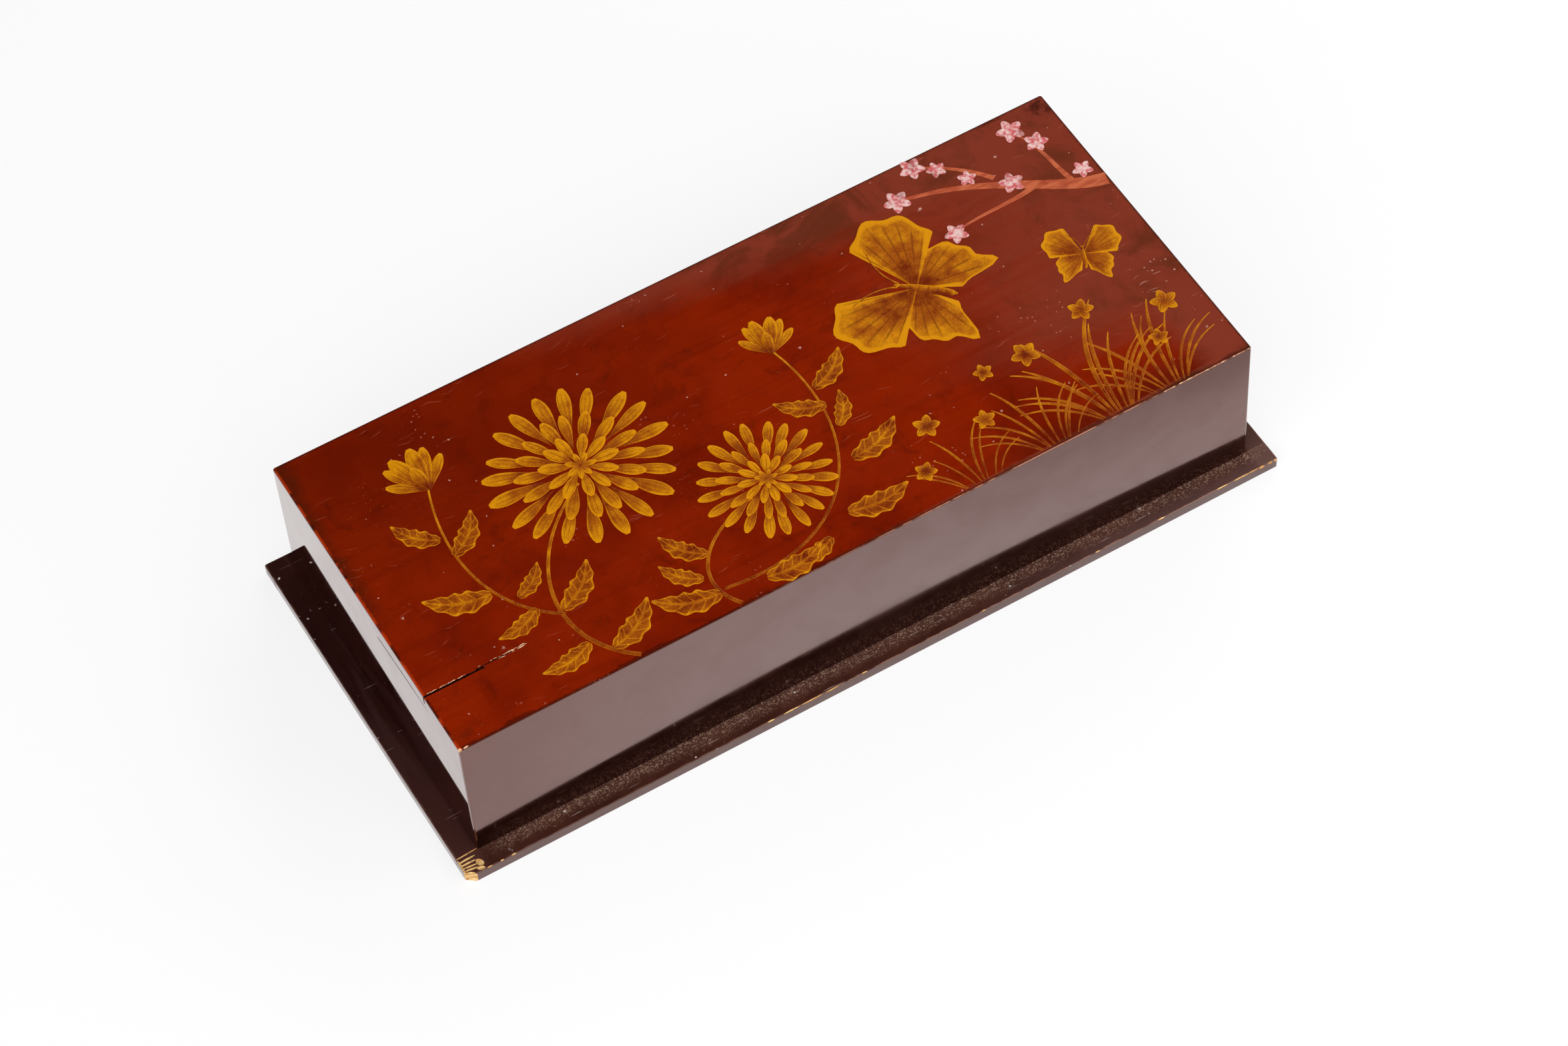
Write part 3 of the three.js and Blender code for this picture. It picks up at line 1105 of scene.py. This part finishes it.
def chrysanthemum(centre, radius, turn=0.0):
    plates = ring("outer", centre, 20, 0.40 * radius, radius, turn)
    plates += ring("middle", centre, 16, 0.22 * radius, 0.70 * radius, turn + 9)
    hearts = ring("inner", centre, 11, 0.08 * radius, 0.42 * radius, turn + 3, lean=4)
    hearts += ring("eye", centre, 7, 0.01 * radius, 0.17 * radius, turn, lean=6)
    return plates, hearts


large_petals, large_heart = chrysanthemum((-64, 12), 33)
small_petals, small_heart = chrysanthemum((-14, -26), 24, turn=6)
gather("chrysanthemums", large_petals + small_petals, petal_gold)
gather("chrysanthemum_hearts", large_heart + small_heart, centre_gold)


def bud(centre, turn, size):
    """A half-open flower: a fan of petals that points one way."""
    fan = (("outer", -48, 0.8, 1), ("outer", 48, 0.8, 1), ("outer", -26, 0.95, 1),
           ("outer", 26, 0.95, 1), ("middle", -12, 1, 1.1), ("middle", 12, 1, 1.1),
           ("inner", 0, 0.6, 1.1))
    return [stamp(templates[petal], *centre, turn + angle, size * length / 10, width)
            for petal, angle, length, width in fan]


buds = bud((-111, 30), 8, 19) + bud((14, 18), -14, 16)
gather("chrysanthemum_buds", buds, petal_gold)

# %% [markdown]
# ## Stems and leaves
#
# A leaf is slender and pointed, with shallow lobes. In rows that is a plain leaf whose width
# swings in and out a little, with a spine that sways. Each stem follows a curve with two handles
# and thins towards the flower.

# %% Make the stems and leaves


def leaf_rows(sway):
    """A slender lobed leaf 10 mm long."""
    def lay(t):
        body = sin(pi * (0.03 + 0.96 * t) ** 0.8) ** 0.9
        lobes = 1 + 0.13 * cos(2 * pi * (4.2 * t - 0.25))
        middle = sway * sin(pi * t)
        turn = -degrees(atan(sway / 10 * pi * cos(pi * t)))
        return middle, 10 * t, turn, 0.12 + 3.7 * body * lobes
    return lay


templates["left"] = lay_rows("leaf_left", 34, 8, 0.06, leaf_rows(-1.1))
templates["right"] = lay_rows("leaf_right", 34, 8, 0.07, leaf_rows(1.1))
stems = [
    ((-84, -65), (-108, -46), (-100, -12), (-68, 6), 1.6, 0.9),
    ((-97, -38), (-120, -22), (-120, 8), (-111.5, 31), 1.1, 0.7),
    ((-46, -65), (-56, -52), (-48, -36), (-22, -30), 1.4, 0.9),
    ((-48, -57), (2, -66), (26, -24), (14.5, 19), 1.1, 0.7),
]
gather("stems", lay_strands("stem", stems, 24, 2, 0.03, 0.006), line_gold)

leaves = [
    ("left", -96, -52, 98, 1.9), ("right", -90, -58, -58, 2.2), ("right", -97, -36, -50, 2.1),
    ("left", -104, -31, 104, 1.7), ("left", -114, -18, 66, 2.3), ("right", -107, -24, -52, 1.5),
    ("right", -117, 2, -44, 1.9), ("left", -118, 10, 40, 1.8), ("left", -50, -58, 66, 2.3),
    ("right", -34, -60.5, -84, 2.2), ("left", -52, -50, 40, 1.6), ("left", -46, -42, 36, 1.8),
    ("right", 2, -52, -90, 2.3), ("left", -8, -58, 100, 1.6), ("right", 14.5, -34, -70, 2.2),
    ("left", 18.5, -10, 58, 1.8), ("right", 18.5, -2, -56, 1.9), ("right", 17.5, -20, -30, 1.5),
]
leaf_plates = [stamp(templates[kind], x, y, turn, size) for kind, x, y, turn, size in leaves]
gather("leaves", leaf_plates, leaf_gold)

# %% [markdown]
# ## Butterflies
#
# A wing is a fan: its rows are rays from the body, as long as the wing's outline is at that
# angle. Scallops in the outline come from one more wave. The large butterfly is modelled whole
# at the workbench, and the small one is a copy.

# %% Make the butterflies


def wing_rows(side, low, high, reach, scallops):
    """Rays from the body. The angles are from the head, and side is 1 or -1."""
    def lay(t):
        angle = radians(low + (high - low) * t)
        length = reach(t) * (1 + 0.035 * cos(2 * pi * scallops * t))
        middle = 0.8 + length / 2
        x, y = side * sin(angle) * middle, cos(angle) * middle
        return x, y, 90 - side * degrees(angle), length
    return lay


def fore_reach(t):
    return 25 * (0.62 + 0.38 * sin(pi * (0.1 + 0.8 * t) ** 0.8))


def hind_reach(t):
    return 18 * (0.6 + 0.4 * sin(pi * t)) + 6 * exp(-((t - 0.72) / 0.1) ** 2)


def body_rows(t):
    return 0, -11 + 17 * t, 0, 0.3 + 2.4 * sin(pi * t ** 0.7) ** 0.8


wings = []
for side in (1, -1):
    wings.append(lay_rows("hind_wing", 22, 8, 0.07, wing_rows(side, 84, 168, hind_reach, 4)))
    wings.append(lay_rows("fore_wing", 22, 8, 0.10, wing_rows(side, 24, 92, fore_reach, 3)))
    curve = ((0.6 * side, 5), (2 * side, 10), (5 * side, 13), (10 * side, 16), 0.5, 0.35)
    wings.append(lay_rows("feeler", 14, 2, 0.12, along_curve(*curve)))
wings.append(lay_rows("butterfly_body", 14, 6, 0.14, body_rows))
hold(*wings)
bpy.ops.object.join()
templates["butterfly"] = settle("butterfly")
large = stamp(templates["butterfly"], 70, 16, 48, 1.3)
small = stamp(templates["butterfly"], 126, -2, -24, 0.6)
gather("butterflies", [large, small], wing_gold)

# %% [markdown]
# ## Grasses and bellflowers
#
# Thin blades of grass spring from the front edge and bow outwards, and small bellflowers stand
# among them. Four bent blades are modelled and copied at many angles and lengths.

# %% Make the grasses and the bellflowers


def blade_rows(bow):
    """A blade 30 mm long that bows sideways and ends in a point."""
    lay = along_curve((0, 0), (0, 12), (bow * 0.3, 22), (bow, 29), 0.9, 0.9)

    def thinned(t):
        x, y, turn, width = lay(t)
        return x, y, turn, width * (0.15 + sin(pi * (0.12 + 0.86 * t)) ** 0.8)
    return thinned


for number, bow in enumerate((-11, -5, 5, 11)):
    templates["blade", number] = lay_rows("blade", 16, 2, 0.03 + 0.01 * number, blade_rows(bow))
draw = random.Random(21)
blades = []
for middle, count, tall in ((76, 10, 1.0), (100, 13, 1.4), (121, 11, 1.2), (46, 8, 0.8)):
    for number in range(count):
        lean = 2 * number / (count - 1) - 1
        bent = min(3, int((lean + 1) * 2)) if draw.random() < 0.85 else draw.randrange(4)
        x = middle + 7 * lean + draw.uniform(-1, 1)
        size = tall * (1.05 - 0.35 * abs(lean)) * draw.uniform(0.8, 1.08)
        blades.append(stamp(templates["blade", bent], x, -65.2, -34 * lean, size))
gather("grasses", blades, line_gold)

templates["bell"] = lay_rows("bell_petal", 8, 4, 0.13, petal_rows(0.5, 6.6))


def five_petals(places, spin):
    """A flower of five petals at each place, its size the petal's length, turned by its x."""
    return [stamp(templates["bell"], x, y, 72 * number + spin * x, size / 10)
            for x, y, size in places for number in range(5)]


bells = five_petals([(42, -36, 4.8), (60, -44, 4.0), (86, -28, 5.2), (112, -22, 4.6),
                     (138, -34, 5.0), (70, -27, 3.6), (32, -52, 4.0), (128, -46, 3.6)], spin=1)
gather("bellflowers", bells, petal_gold)

# %% [markdown]
# ## A flowering twig
#
# A salmon-pink twig grows in from the right end. It is opaque lacquer, brushed on in strokes
# that follow the wood, with pale pink blossoms.

# %% Make the twig


def make_pink(name, pale, deep, stretch):
    material, place = new_finish(name)
    strokes = noise(place, 700, stretch=stretch)
    thin = patchy(place, 160, 0.52, 0.72, 0, 0.5, shift=(5, 0, 0))
    pink = layered(pale, (between(strokes, 0.35, 0.65), deep), (thin, (130, 34, 14)))
    connect(base_color=pink, roughness=between(strokes, 0.3, 0.7, 0.3, 0.42),
            normal=bump(strokes, 0.4, 0.06), coat_weight=0.3, coat_roughness=0.15)
    return material


twig_pink = make_pink("twig_pink", (206, 108, 70), (180, 78, 48), (0.2, 1, 1))
blossom_pink = make_pink("blossom_pink", (244, 206, 200), (214, 96, 100), (1, 1, 1))
twigs = [
    ((151, 22), (132, 26), (118, 46), (84, 52), 5.5, 1.2),
    ((130, 33), (120, 30), (108, 32), (96, 30), 2.2, 0.7),
    ((118, 43), (112, 52), (104, 58), (98, 61), 2.0, 0.6),
    ((141, 25), (138, 36), (140, 46), (134, 57), 2.2, 0.7),
]
gather("twig", lay_strands("twig", twigs, 22, 4, 0.04, 0.01), twig_pink)
blossoms = five_petals([(134, 58, 5.2), (139, 49, 4.4), (96, 62, 4.8), (103, 57, 3.6), (94, 29, 4.4),
                        (84, 52, 5), (122, 38, 4.6), (146, 30, 3.8), (110, 48, 3.4)], spin=7)
gather("blossoms", blossoms, blossom_pink)

# %% [markdown]
# The templates stay behind at the workbench, so they are cleared away.

# %% Clear the workbench
for template in templates.values():
    bpy.data.objects.remove(template)
print("Workbench clear")
